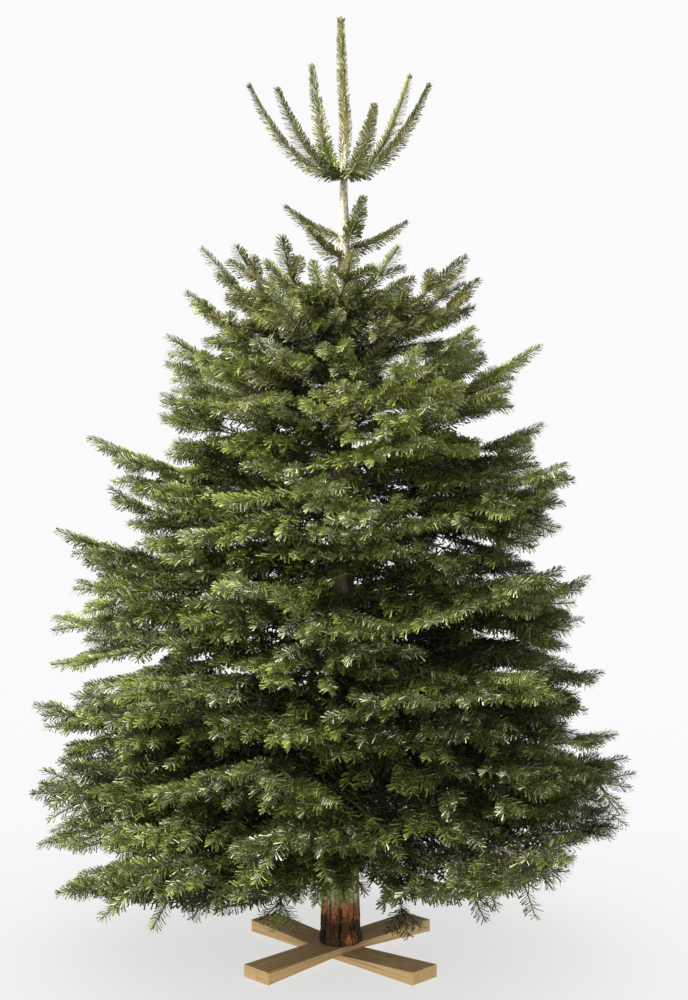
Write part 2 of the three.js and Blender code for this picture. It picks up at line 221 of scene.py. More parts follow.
class Growth:
    """Grows boughs year by year and notes down every shoot.

    The home that the methods pass on says which row and mass of the tree a limb belongs to, how
    far it may reach, and how it tilts, sags and hangs."""

    def __init__(self, seed):
        self.random = random.Random(seed)
        self.shoots = []
        self.boughs = []
        self.spray = 0

    def spread(self, amount):
        """A random number between minus and plus an amount."""
        return self.random.uniform(-amount, amount)

    def note(self, points, up, age, order, home, **extra):
        """Notes one shoot, a curve of three points, that grew age years ago."""
        shoot = dict(USUAL_SHOOT, points=points, up=up, age=age, order=order, spray=self.spray)
        shoot.update({key: home[key] for key in ("row", "mass", "kept", "lit") if key in home})
        shoot.update(extra)
        self.shoots.append(shoot)

    def grow_limb(self, start, heading, roll, years, stride, order, home):
        """A side limb, which grows one shoot a year, each with its own side shoots."""
        here = start.copy()
        for year in range(years):
            age = years - year
            length = stride * (1 + self.spread(0.14))
            # It turns outwards, and climbs with the bough's slope and its own tilt, less its sag.
            level = Vector((heading.x, heading.y, 0)).normalized()
            level.rotate(Quaternion(UP, self.spread(0.12)))
            radial = Vector((here.x, here.y, 0)).normalized()
            level = (level + radial * OUTWARD_PULL).normalized()
            outward = max(level.dot(radial), 0.0)
            sag = home["sag"] * (1.0 if age > 1 else 0.5)
            climb = 0.75 * home["slope"] * outward - sag + home["tilt"] + self.spread(0.15)
            target = (level + UP * climb).normalized()
            turned = (heading * 0.5 + target * 0.5).normalized()
            end = here + turned * length
            # A limb that would grow below the crown's lower edge levels out, or ends there.
            if end.z < lowest_at(end) - home["hangs"]:
                turned = Vector((turned.x, turned.y, 0.12)).normalized()
                end = here + turned * length
                if end.z < lowest_at(end) - home["hangs"] - 0.02:
                    return
            # It is cut short at the crown's surface, or ends before it.
            over = math.hypot(end.x, end.y) - home["reach"] * (1.02 + self.spread(0.03))
            if over > 0:
                length -= over * 1.1
                if length < stride * SHORTEST:
                    return
                end = here + turned * length
            # It ends at the edge of its bough's sector, but not within 100 mm of the tree's middle.
            aside = math.remainder(math.atan2(end.y, end.x) - home["azimuth"], math.tau)
            if abs(aside) > SECTOR * (1 + self.spread(0.15)) and math.hypot(end.x, end.y) > 0.1:
                return
            middle = here + heading.lerp(turned, 0.5).normalized() * length * 0.5
            level_up = (UP - turned * UP.dot(turned)).normalized()
            up = Quaternion(turned, roll) @ level_up
            share = math.hypot(end.x, end.y) / home["reach"]
            self.note((here, middle, end), up, age, order, home, share=share * home["fullness"])
            if age > 1:
                self.grow_sides(here, end, turned, up, roll, age, stride, order, home)
            heading = turned
            here = end

    def grow_sides(self, here, end, heading, up, roll, age, stride, order, home):
        """The side shoots that a shoot carries: a pair at its end, and small ones along it."""
        if order >= home["orders"]:
            return
        share = math.hypot(end.x, end.y) / home["reach"]
        # Shaded side shoots inside the crown have died away, and young rows have fewer.
        lost = 0.07 if order == 0 else 0.1 if share > 0.68 else 0.4
        if order and home["row"] < FIRST_OLD_ROW:
            lost = 0.38
        for side in (-1, 1):
            if self.random.random() < lost:
                continue
            angle = side * SIDE_ANGLE * (1 + self.spread(0.15))
            lateral = Quaternion(up, angle) @ heading
            scale = (0.86 if order else 0.8 + 0.12 * share) * (1 + self.spread(0.1))
            own = dict(home)
            turn = roll
            if order == 0:
                self.spray += 1
                own["tilt"] = home["tilt"] + self.spread(0.28)
                turn = self.spread(0.55)
            self.grow_limb(end, lateral, turn, age - 1, stride * scale, order + 1, own)
        for _ in range(2 if order == 0 else 1):
            if self.random.random() < 0.5 or share < 0.5 and order:
                continue
            angle = self.random.choice((-1, 1)) * SIDE_ANGLE * (1.15 + self.spread(0.2))
            lateral = Quaternion(heading, self.spread(0.9)) @ Quaternion(up, angle) @ heading
            foot = here.lerp(end, self.random.uniform(0.25, 0.8))
            if order == 0:
                self.spray += 1
            years = min(age - 1, 2) if order == 0 else 1
            self.grow_limb(foot, lateral, roll, years, stride * 0.6, order + 1, home)

    def grow_bough(
        self, row, mass, azimuth, foot, reach, climb, years, thickness, bare=0.0, fullness=1.0
    ):
        """A bough from the trunk, with its side limbs to both sides.

        Bare is the share of it, from the trunk, that has no needles of its own. A small bough
        between the rows has a fullness below 1."""
        self.spray += 1
        middle = trunk_middle(foot)
        outward = Vector((math.cos(azimuth), math.sin(azimuth), 0))
        sideways = UP.cross(outward)
        sway = self.spread(0.03)
        begin = trunk_radius(foot) * 0.5
        weights = [1 + self.spread(0.12) for _ in range(years)]
        steps = [begin]
        for weight in weights:
            steps.append(steps[-1] + (reach - begin) * weight / sum(weights))
        path = []
        for out in steps:
            share = out / reach
            height = foot + climb * share**BOUGH_BEND + self.spread(0.006) * share
            aside = sideways * (sway * math.sin(share * math.pi) + self.spread(0.008) * share)
            path.append(Vector((middle, 0, height)) + outward * out + aside)
        self.boughs.append({"path": path, "thickness": thickness, "row": row, "azimuth": azimuth})
        home = {"row": row, "mass": mass, "reach": reach, "azimuth": azimuth, "fullness": fullness}
        home.update(sag=SAG[row], tilt=self.spread(0.10), hangs=0.0)
        home["orders"] = 2 if fullness > 0.8 or row < FIRST_OLD_ROW else 1
        for year in range(years):
            age = years - year
            here, end = path[year], path[year + 1]
            heading = (end - here).normalized()
            before = (here - path[year - 1]).normalized() if year else heading
            centre = here + (before + heading).normalized() * (end - here).length * 0.5
            up = (UP - heading * UP.dot(heading)).normalized()
            share = steps[year + 1] / reach
            if share > bare:
                self.note((here, centre, end), up, age, 0, home, share=share * fullness)
            if age > 1:
                home["slope"] = climb / reach * BOUGH_BEND * share ** (BOUGH_BEND - 1)
                self.grow_sides(here, end, heading, up, 0.0, age, (reach - begin) / years, 0, home)
            for _ in range(2 if row == ROWS[-1] and age > 1 else 0):
                self.grow_hanging(here.lerp(end, self.random.random()), heading, home)

    def grow_hanging(self, start, heading, home):
        """A thin spray that hangs below a low bough and has lost half its needles."""
        self.spray += 1
        own = dict(home, tilt=-0.45, sag=0.6, hangs=0.06, kept=0.55)
        side = Quaternion(UP, self.random.choice((-1, 1)) * self.random.uniform(0.5, 1.2)) @ heading
        down = (side - UP * self.random.uniform(0.35, 0.7)).normalized()
        self.grow_limb(start, down, self.spread(0.5), years=2, stride=0.075, order=2, home=own)

    def grow_drooping(self, start, azimuth, years, stride, tilt, kept, lit):
        """A side limb of the lowest row that droops below it, whose needles get lit as painted light."""
        self.spray += 1
        home = {"row": ROWS[-1], "mass": 1, "reach": 0.5, "azimuth": azimuth, "fullness": 1.0}
        home.update(slope=0.0, sag=0.55, tilt=tilt, hangs=0.12, orders=2, kept=kept, lit=lit)
        down = Vector((math.cos(azimuth), math.sin(azimuth), 2 * tilt)).normalized()
        self.grow_limb(start, down, 0.0, years, stride, order=1, home=home)

    def grow_line(self, at, pieces, up_at, **extra):
        """A single long shoot of the current year in the top row, noted in pieces along a line."""
        home = {"row": 1, "mass": 0}
        for piece in range(pieces):
            first, last = piece / pieces, (piece + 1) / pieces
            here, end = at(first), at(last)
            bulge = at((first + last) / 2) * 2 - (here + end) / 2
            up = up_at((end - here).normalized())
            self.note((here, bulge, end), up, 1, 0, home, part=(first, last), **extra)

    def grow_single(self, name, bend, buds):
        """A single upright shoot of the current year, on a line that steepens."""
        self.spray += 1
        points = node_points(name)
        tip = points[points[:, 2].argmax()]
        foot = points[:, 2].min() + 0.003
        middle = trunk_middle(foot)
        azimuth = math.atan2(tip[1], tip[0] - middle)
        reach = math.hypot(tip[0] - middle, tip[1])
        outward = Vector((math.cos(azimuth), math.sin(azimuth), 0))
        base = Vector((middle, 0, foot))

        def at(share):
            return base + outward * reach * share + UP * (tip[2] - foot) * share**bend

        def up_at(heading):
            # The side of an upright shoot that faces the stem counts as its upper side.
            inward = UP * 0.4 - outward
            return (inward - heading * inward.dot(heading)).normalized()

        self.grow_line(at, 5, up_at, kept=2.0, size=1.2, buds=buds)
        path = [at(i / 8) for i in range(9)]
        self.boughs.append({"path": path, "thickness": 0.0026, "row": 1, "azimuth": azimuth})

    def grow_leader(self):
        """The leader's short needles, which point up and thin out towards its bud."""
        self.spray += 1
        foot, top = WHORL_HEIGHT + 0.02, TREE_TOP - 0.02

        def at(share):
            height = foot + (top - foot) * share
            return Vector((float(trunk_middle(height)), 0, height))

        def up_at(heading):
            return Vector((0, -1, 0))

        self.grow_line(at, 12, up_at, size=0.5, core=0.0055, kept=1.8, buds=2.8)

    def grow_row(self, row):
        """A row's five main boughs, where the CAD model has them."""
        bare = 0.3 if row in BARE_ROWS else 0.0
        thickness = 0.003 + 0.0008 * row
        for i in MASSES:
            bough = BOUGHS[row, i]
            foot, climb = bough["foot"], bough["tip"] - bough["foot"]
            self.grow_bough(
                row, i, bough["azimuth"], foot, bough["reach"], climb, YEARS[row], thickness, bare
            )

    def grow_between(self, row):
        """The small boughs between a row and the one above it."""
        sizes = ROW_SIZES[row]
        years = YEARS[row]
        above = ROW_SIZES.get(row - 1)
        layers = BETWEEN
        if above is None:
            above = {"foot": WHORL_HEIGHT, "reach": sizes["reach"] * 0.7}
            above["climb"] = sizes["climb"] * 0.3
            layers = BETWEEN_TOP
        thickness = 0.002 + 0.0006 * row
        for share, fullness, twist, count in layers:
            foot = sizes["foot"] + share * (above["foot"] - sizes["foot"])
            for i in range(count):
                turn = sizes["turn"] + math.tau / count * (i + twist) + self.spread(0.2)
                reach = sizes["reach"] * (1 - share) + above["reach"] * share
                climb = sizes["climb"] * (1 - share) + above["climb"] * share
                reach = (reach[0] + reach[1] * math.cos(turn)) * fullness * (1 + self.spread(0.06))
                climb = (climb[0] + climb[1] * math.cos(turn)) * fullness + self.spread(0.1) * reach
                here = foot + self.spread(0.04)
                grown = years if fullness > 0.8 else max(2, round(years * fullness) - 1)
                mass = 1 + i * BOUGHS_PER_ROW // count
                self.grow_bough(row, mass, turn, here, reach, climb, grown, thickness, fullness=fullness)


@functools.cache
def grown_tree(seed):
    """The whole tree's shoots and boughs, grown from one seed."""
    growth = Growth(seed)
    for row in ROWS:
        growth.grow_row(row)
        growth.grow_between(row)
    for aside in DROOPING:
        azimuth = math.radians(-90) + aside
        place = Vector((aside, -0.16, 0.38))
        # The drooping sprays in front of the foot hang in the tree's shade, and their needles are dealt
        # lighter as painted light.
        growth.grow_drooping(place, azimuth, years=3, stride=0.085, tilt=-0.25, kept=1.3, lit=0.7)
    for azimuth, out in HANGING:
        turn = math.radians(azimuth)
        place = Vector((out * math.cos(turn), out * math.sin(turn), 0))
        place += UP * (lowest_at(place) + 0.045)
        growth.grow_drooping(place, turn, years=2, stride=0.06, tilt=-0.7, kept=0.7, lit=0.1)
    for row, azimuth, foot, reach, climb in FILLERS:
        turn = math.radians(azimuth)
        mass = 1 + round((turn - ROW_SIZES[row]["turn"]) / math.tau * BOUGHS_PER_ROW) % BOUGHS_PER_ROW
        growth.grow_bough(row, mass, turn, foot, reach, climb, years=5, thickness=0.005, fullness=0.6)
    for name in TOP_SHOOTS:
        growth.grow_single(name, TOP_SHOOT_BEND, buds=2.0)
    for name in STEM_SHOOTS:
        growth.grow_single(name, STEM_SHOOT_BEND, buds=1.4)
    growth.grow_leader()
    return growth.shoots, growth.boughs


# Small helpers

# The numbers of a Mix node's sockets for two colours, and the settings that make it mix them.
FACTOR, COLOUR_A, COLOUR_B = 0, 6, 7
MIXED = 2
BLEND = {"data_type": "RGBA"}
MULTIPLY = {"data_type": "RGBA", "blend_type": "MULTIPLY"}


def linear(hex_colour):
    """An sRGB colour such as #80a040 as linear red, green and blue."""
    channels = [int(hex_colour[i : i + 2], 16) / 255 for i in (1, 3, 5)]
    return tuple(c / 12.92 if c <= 0.04045 else ((c + 0.055) / 1.055) ** 2.4 for c in channels)


def add_node(tree, kind, inputs=None, **settings):
    """Adds a shader node with its settings. Inputs that are sockets are linked, others are set."""
    node = tree.nodes.new(kind)
    for name, value in settings.items():
        setattr(node, name, value)
    for name, value in (inputs or {}).items():
        if isinstance(value, bpy.types.NodeSocket):
            tree.links.new(value, node.inputs[name])
        else:
            node.inputs[name].default_value = value
    return node


def plain_material(name, colour, roughness, metallic=0.0):
    """A material of one colour all over, made the first time that it is asked for."""
    existing = bpy.data.materials.get(name)
    if existing:
        return existing
    material = bpy.data.materials.new(name)
    material.use_nodes = True
    shader = material.node_tree.nodes["Principled BSDF"]
    shader.inputs["Base Color"].default_value = (*colour, 1)
    shader.inputs["Roughness"].default_value = roughness
    shader.inputs["Metallic"].default_value = metallic
    return material


def add_piece(mesh, materials, nodes=()):
    """Puts a finished mesh in the scene as a piece of the tree's one body."""
    piece = bpy.data.objects.new(mesh.name, mesh)
    bpy.context.scene.collection.objects.link(piece)
    for material in materials:
        mesh.materials.append(material)
    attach(piece, "root")
    if nodes:
        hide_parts(*nodes)
    return piece


def mesh_from_arrays(name, corners, faces, kinds):
    """A mesh of triangles from arrays. Kinds are the numbers of the triangles' materials."""
    mesh = bpy.data.meshes.new(name)
    mesh.vertices.add(len(corners))
    mesh.vertices.foreach_set("co", corners.astype(np.float32).ravel())
    mesh.loops.add(faces.size)
    mesh.loops.foreach_set("vertex_index", faces.astype(np.int32).ravel())
    mesh.polygons.add(len(faces))
    mesh.polygons.foreach_set("loop_start", np.arange(0, faces.size, 3, dtype=np.int32))
    mesh.polygons.foreach_set("material_index", kinds.astype(np.int32))
    mesh.update(calc_edges=True)
    mesh.validate()
    return mesh


def mesh_from_bmesh(name, work):
    """A mesh from a bmesh, which is then done with."""
    mesh = bpy.data.meshes.new(name)
    work.to_mesh(mesh)
    work.free()
    return mesh


def values(shoots, key):
    """One value of every shoot as an array."""
    return np.array([s[key] for s in shoots])


def shoot_curves(shoots):
    """The shoots' curves and upper sides as arrays."""
    points = np.array([[tuple(p) for p in s["points"]] for s in shoots])
    ups = np.array([tuple(s["up"]) for s in shoots])
    return points, ups


def repeated(pattern, count, step, begin=0):
    """The faces of many like shapes whose corners follow each other in one list."""
    return (pattern[None] + begin + step * np.arange(count)[:, None, None]).reshape(-1, 3)


def unit(vectors):
    """Vectors made one metre long."""
    return vectors / np.maximum(np.linalg.norm(vectors, axis=-1, keepdims=True), 1e-9)


def curve_at(points, ups, share):
    """Places along curves of three points, with each curve's heading, right side and upper side."""
    share = share[:, None]
    first, middle, last = points[:, 0], points[:, 1], points[:, 2]
    place = (1 - share) ** 2 * first + 2 * share * (1 - share) * middle + share**2 * last
    heading = unit((1 - share) * (middle - first) + share * (last - middle))
    aside = unit(np.cross(heading, ups))
    return place, heading, aside, np.cross(aside, heading)


# Needles

# The materials that needles are dealt, from the darkest to the lightest, then the two special ones. The
# steps between the plain kinds carry painted light and shade as well as each spray's own tone.
NEEDLE_KINDS = ("deep", "dark", "green", "fresh", "bright", "pale", "khaki")
DARK, FRESH, PALE, KHAKI = (NEEDLE_KINDS.index(kind) for kind in ("dark", "fresh", "pale", "khaki"))
# How light a needle has to be for each of the plain kinds after the first.
LIGHT_STEPS = (0.26, 0.45, 0.68, 0.9)
# The share of the shoots that are khaki, by row.
KHAKI_SHARE = {1: 0.6, 2: 0.4, 3: 0.06}
# The young rows at the top are clothed more densely than the old ones below.
ROW_DENSITY = {1: 0.95, 2: 1.3, 3: 1.2, 4: 1.06, 5: 0.96, 6: 0.92, 7: 0.86, 8: 0.82}
# Painted light and shade by row: how much lighter or darker than the middle rows each row's needles are,
# lighter high up where the light falls and darker low down under the rows above.
ROW_PAINTED_LIGHT = {1: 0.3, 2: 0.18, 3: 0.3, 4: 0.16, 5: 0.0, 6: 0.0, 7: -0.1, 8: -0.2}
# The share of its needles that a shoot still has, by age in years.
NEEDLES_LEFT = {1: 1.0, 2: 0.74, 3: 0.55, 4: 0.4}
OLDEST_LEFT = 0.3
# The turn from each needle to the next one round the shoot, in radians.
SPIRAL_STEP = 2.39996


def shade(shoot):
    """From 0 at the crown's surface to 1 deep inside, where fewer but broader needles keep it dark."""
    if shoot["row"] < FIRST_OLD_ROW:
        return 0.0
    return min(1.0, max(0.0, (0.80 - shoot["share"]) / 0.24))


def needle_counts(shoots, per_metre):
    """How many needles each shoot still carries: older and more shaded shoots have lost many."""
    counts = []
    for s in shoots:
        first, middle, last = s["points"]
        length = (middle - first).length + (last - middle).length
        left = NEEDLES_LEFT.get(s["age"], OLDEST_LEFT) * ROW_DENSITY[s["row"]]
        counts.append(max(4, round(length * per_metre * left * (1 - 0.72 * shade(s)) * s["kept"])))
    return np.array(counts)


def needle_kinds(shoots, owner, down, inside, rng):
    """Which material each needle has: by its spray, its shoot's age, and painted light and shade for
    where it sits in the crown and on its shoot.
    """
    total = len(owner)
    ages, rows = values(shoots, "age"), values(shoots, "row")
    tone = rng.uniform(0, 1, len(shoots))
    sprays = values(shoots, "spray")
    spray_tone = np.random.default_rng(5).uniform(0, 1, sprays.max() + 1)[sprays]
    light = 0.44 * spray_tone + 0.28 * tone + np.where(ages == 1, 0.32, np.where(ages == 2, 0.22, 0.08))
    # Towards the trunk it gets darker, most of all in the young rows: painted shade for the inside of the
    # crown.
    young = rows < FIRST_OLD_ROW
    depth = np.clip(np.where(young, 0.8, 0.7) - values(shoots, "share"), 0, 1)
    light = light - np.where(young, 1.0, 0.6) * depth
    # Each row's painted light or shade.
    light = light + np.array([ROW_PAINTED_LIGHT[row] for row in rows])
    # The needles on top of a shoot are dealt lighter, a painted highlight, and those beneath it darker, a
    # painted shade.
    light = light[owner] + 0.08 - 0.42 * np.clip(down - 0.45, 0, 1) + rng.normal(0, 0.2, total)
    # Painted light for the shoots that are dealt lighter, such as the drooping sprays in front.
    light = light + values(shoots, "lit")[owner]
    kinds = np.digitize(light, LIGHT_STEPS)
    # The top two rows have no bright needles. Many of their shoots are khaki.
    kinds = np.where((rows < 3)[owner], np.minimum(kinds, FRESH), kinds)
    khaki = np.array([rng.uniform() < KHAKI_SHARE.get(row, 0.0) for row in rows])[owner]
    kinds = np.where(khaki & (kinds > DARK), KHAKI, kinds)
    # Pale needles stand for the wax on their undersides and, in part, for painted glints. They show on
    # some shoots much more than on others, and more in the higher rows.
    wax_and_glint_share = ((0.46 - 0.03 * rows) * rng.uniform(0, 1, len(shoots)) ** 2)[owner]
    return np.where(rng.uniform(0, 1, total) < wax_and_glint_share * np.clip(1 - 2 * inside, 0, 1), PALE, kinds)


def make_needles(name, shoots, materials, nodes, settings):
    """A joined piece of needles, set round each shoot in a spiral and parted underneath."""
    rng = np.random.default_rng(len(shoots) + len(name))
    counts = needle_counts(shoots, settings.needles_per_metre)
    owner = np.repeat(np.arange(len(shoots)), counts)
    order = np.arange(len(owner)) - np.repeat(np.cumsum(counts) - counts, counts)
    total = len(owner)
    points, ups = shoot_curves(shoots)
    part, size = values(shoots, "part")[owner], values(shoots, "size")[owner]
    share = (order + rng.uniform(0.1, 0.9, total)) / counts[owner]
    place, heading, aside, above = curve_at(points[owner], ups[owner], share)
    whole = part[:, 0] + share * (part[:, 1] - part[:, 0])

    # Turn is the angle round the shoot from its upper side, and down is 1 on its underside.
    turn = (order * SPIRAL_STEP + rng.uniform(-0.3, 0.3, total) + np.pi) % (2 * np.pi) - np.pi
    turn = turn * np.where(size < 1, 1.0, 0.82)
    down = np.abs(turn) / np.pi
    # Needles lean out from the shoot most below it, and least at its tip and on the leader.
    lean = np.radians(34 + 26 * np.clip(down * 1.8, 0, 1)) * np.where(size < 1, 0.85, 1.0)
    lean = lean * (1 - 0.34 * np.clip((whole - 0.8) / 0.2, 0, 1))
    lean = lean + rng.normal(0, 0.10, total)
    # They are shorter on top of the shoot, at its foot and at its tip.
    length = settings.needle_length * size * (0.66 + 0.34 * np.clip(down * 2.2, 0, 1))
    length = length * np.clip(0.6 + whole * 3, 0, 1) * (1 - 0.38 * np.clip((whole - 0.72) / 0.28, 0, 1))
    length = length * np.where(values(shoots, "row")[owner] == 1, 1.2 - 0.5 * whole, 1.0)
    length = length * rng.uniform(0.88, 1.1, total)

    radial = above * np.cos(turn)[:, None] + aside * np.sin(turn)[:, None]
    along = unit(heading * np.cos(lean)[:, None] + radial * np.sin(lean)[:, None])
    lift = above + np.array([0, 0, 0.35])
    face = unit(lift - along * np.sum(lift * along, axis=1, keepdims=True))
    across = np.cross(face, along)
    twist = rng.normal(0, 0.34, total)[:, None]
    face, across = (
        face * np.cos(twist) + across * np.sin(twist),
        across * np.cos(twist) - face * np.sin(twist),
    )
    width = settings.needle_width * (0.75 + 0.25 * length / settings.needle_length)
    inside = np.array([shade(s) for s in shoots])[owner]
    width = width * (1 + 1.4 * inside)
    length = length * (1 + 0.2 * inside)
    base = place + radial * values(shoots, "core")[owner][:, None]

    def corner(out, side, raised):
        return (
            base
            + along * (length * out)[:, None]
            + across * (width * side)[:, None]
            + face * (length * raised)[:, None]
        )

    outline = [corner(0, -0.24, 0), corner(0, 0.24, 0), corner(1, 0.45, -0.02), corner(1, -0.45, 0.04)]
    corners = np.stack(outline, axis=1).reshape(-1, 3)
    faces = repeated(np.array([[0, 1, 2], [0, 2, 3]]), total, 4)
    kinds = needle_kinds(shoots, owner, down, inside, rng)
    mesh = mesh_from_arrays(name, corners, faces, np.repeat(kinds, 2))
    return add_piece(mesh, materials, nodes)


# Twigs

TWIG_SIDES = 3
YOUNG_TWIG_RADIUS = 0.0019
TWIG_RADIUS = 0.0015
# How much a twig's radius grows each year.
YEARLY_GROWTH = 0.0004
TAN_TWIG = 3


def make_twigs(name, shoots, materials):
    """A joined piece of slim twigs, each three-sided and closed at both ends."""
    points, ups = shoot_curves(shoots)
    ages = values(shoots, "age")
    high = values(shoots, "row") < FIRST_OLD_ROW
    slimmest = np.where(high, YOUNG_TWIG_RADIUS, TWIG_RADIUS)
    thick = slimmest + YEARLY_GROWTH * (ages - 1)
    thin = slimmest + YEARLY_GROWTH * np.maximum(ages - 2, 0)
    rings = []
    for share, radius in ((0.0, thick), (1.0, thin)):
        place, _, aside, above = curve_at(points, ups, np.full(len(shoots), share))
        for k in range(TWIG_SIDES):
            angle = math.tau * k / TWIG_SIDES
            rings.append(place + (above * math.cos(angle) + aside * math.sin(angle)) * radius[:, None])
    corners = np.stack(rings, axis=1).reshape(-1, 3)
    pattern = [[0, 1, 2], [5, 4, 3]]
    for k in range(TWIG_SIDES):
        a, b = k, (k + 1) % TWIG_SIDES
        pattern += [[a, a + 3, b], [b, a + 3, b + 3]]
    faces = repeated(np.array(pattern), len(shoots), 2 * TWIG_SIDES)
    # The youngest boughs, high on the tree, still have the tan skin of young twigs.
    kinds = np.where(high & (ages < 3), TAN_TWIG, np.clip(ages - 1, 0, 2))
    mesh = mesh_from_arrays(name, corners, faces, np.repeat(kinds, len(pattern)))
    return add_piece(mesh, materials)


# Buds

BUD_LENGTH = 0.0066
BUD_RADIUS = 0.0019
# Rows of the tree, the share of their tips that have buds, how many buds a cluster has, how many
# sides a bud has, and its belts: how far along the bud each is, and how wide.
BUD_CLUSTERS = (
    ((1,), 1.0, 6, 6, ((0.2, 0.8), (0.5, 1.0), (0.8, 0.55))),
    ((2, 3), 1.0, 3, 4, ((0.4, 1.0),)),
    (ROWS[2:], 0.6, 1, 4, ((0.4, 1.0),)),
)


def bud_template(sides, belts):
    """A bud's corners, out along its length and round it, and its faces."""
    corners = [(0.0, 0.0, 0.0)]
    for out, wide in belts:
        for k in range(sides):
            angle = math.tau * k / sides
            corners.append((out, wide * math.cos(angle), wide * math.sin(angle)))
    corners.append((1.0, 0.0, 0.0))
    last = len(corners) - 1
    faces = []
    for k in range(sides):
        after = (k + 1) % sides
        faces.append((0, 1 + after, 1 + k))
        for belt in range(len(belts) - 1):
            a, b = 1 + belt * sides + k, 1 + belt * sides + after
            faces.append((a, b, a + sides))
            faces.append((b, b + sides, a + sides))
        faces.append((last, last - sides + k, last - sides + after))
    return np.array(corners), np.array(faces)


def make_buds(shoots, material):
    """Clusters of small resinous buds at the tips of the current year's shoots."""
    rng = np.random.default_rng(7)
    tips = [s for s in shoots if s["age"] == 1 and s["part"][1] == 1.0 and s["share"] > 0.6]
    all_corners, all_faces = [], []
    begin = 0
    for rows, budded, count, sides, belts in BUD_CLUSTERS:
        chosen = [s for s in tips if s["row"] in rows and rng.uniform() < budded]
        template, pattern = bud_template(sides, belts)
        size = values(chosen, "buds")[:, None, None]
        points, ups = shoot_curves(chosen)
        place, heading, aside, above = curve_at(points, ups, np.ones(len(chosen)))
        # Each bud's turn round the tip, its lean and its size: one at the end, the rest round it.
        cluster = [(0.0, 0.0, 1.0)]
        cluster += [(math.tau * k / (count - 1) + 0.4, 0.8, 0.8) for k in range(count - 1)]
        for turn, lean, scale in cluster:
            radial = above * math.cos(turn) + aside * math.sin(turn)
            along = unit(heading * math.cos(lean) + radial * math.sin(lean))
            first = unit(np.cross(along, above + aside * 0.31))
            second = np.cross(along, first)
            length = BUD_LENGTH * scale * size * rng.uniform(0.85, 1.15, (len(chosen), 1, 1))
            radius = BUD_RADIUS * scale * size
            base = place[:, None] + (radial[:, None] * 0.0006 - along[:, None] * 0.0015) * size
            spots = (
                base
                + along[:, None] * template[None, :, :1] * length
                + first[:, None] * template[None, :, 1:2] * radius
                + second[:, None] * template[None, :, 2:] * radius
            )
            all_corners.append(spots.reshape(-1, 3))
            all_faces.append(repeated(pattern, len(chosen), len(template), begin))
            begin += len(chosen) * len(template)
    corners, faces = np.concatenate(all_corners), np.concatenate(all_faces)
    mesh = mesh_from_arrays("buds", corners, faces, np.zeros(len(faces)))
    return add_piece(mesh, [material])


# Limbs


def draw_limb(work, stations, sides):
    """Draws a closed limb: a ring that is moved, turned and resized from station to station."""
    ring = bmesh.ops.create_circle(work, segments=sides, radius=1.0)["verts"]
    edges = list({edge for vert in ring for edge in vert.link_edges})
    first_edges = edges
    before, turned, placed = UP, Quaternion(), Matrix()
    for index, (centre, heading, radius) in enumerate(stations):
        if index:
            made = bmesh.ops.extrude_edge_only(work, edges=edges)["geom"]
            ring = [part for part in made if isinstance(part, bmesh.types.BMVert)]
            made_edges = [part for part in made if isinstance(part, bmesh.types.BMEdge)]
            edges = [edge for edge in made_edges if edge.is_boundary]
        turned = before.rotation_difference(heading) @ turned
        goal = Matrix.Translation(centre) @ turned.to_matrix().to_4x4() @ Matrix.Scale(radius, 4)
        bmesh.ops.transform(work, matrix=goal @ placed.inverted(), space=Matrix(), verts=ring)
        before, placed = heading, goal
    bmesh.ops.contextual_create(work, geom=first_edges)
    bmesh.ops.contextual_create(work, geom=edges)


# The trunk

TRUNK_SIDES = 72
# Above the cut and below the top, between these heights, the foliage hides the trunk.
HIDDEN_FROM = CUT_HEIGHT + 0.16
HIDDEN_TO = WHORL_HEIGHT - 0.3


def trunk_stations():
    """The trunk's rings from the cut to the leader's tip, close together where the trunk shows."""
    heights = [CUT_HEIGHT + 0.0003, CUT_HEIGHT + 0.0018]
    heights += list(np.arange(CUT_HEIGHT + 0.005, HIDDEN_FROM, 0.0035))
    heights += list(np.arange(HIDDEN_FROM, HIDDEN_TO, 0.014))
    heights += list(np.arange(HIDDEN_TO, TREE_TOP - 0.02, 0.006))
    radii = [float(trunk_radius(height)) for height in heights]
    # The edge of the cut is rounded.
    radii[0] -= 0.004
    radii[1] -= 0.0015
    stations = [(Vector((float(trunk_middle(h)), 0, h)), UP, r) for h, r in zip(heights, radii)]
    tip = stations[-1][0]
    return stations + [(tip + UP * 0.006, UP, 0.004), (tip + UP * 0.009, UP, 0.0012)]


def bark_relief(angle, height, radius):
    """How far the bark stands out from the wood, in metres.

    Strips run up the whole trunk, deepest in a torn band above the cut. Plates cross them, and the
    lowest 75 mm have a crust, with a lip just above the cut."""
    x, y = math.cos(angle), math.sin(angle)
    above_cut = height - CUT_HEIGHT
    strips = noise.fractal(Vector((x * 7, y * 7, height * 9)), 0.8, 2.1, 4)
    plates = noise.noise(Vector((x * 13, y * 13, height * 38)))
    crust = noise.fractal(Vector((x * 9, y * 9, height * 130)), 0.7, 2.2, 3)
    rough = max(0.0, 1 - above_cut / 0.075)
    torn = math.exp(-(((above_cut - 0.07) / 0.035) ** 2))
    lip = 0.0016 * math.exp(-(((above_cut - 0.014) / 0.008) ** 2))
    relief = (0.0011 + 0.0026 * torn) * strips + 0.0006 * plates + 0.0019 * rough * crust
    return min(1.0, radius / 0.03) * (relief + lip)


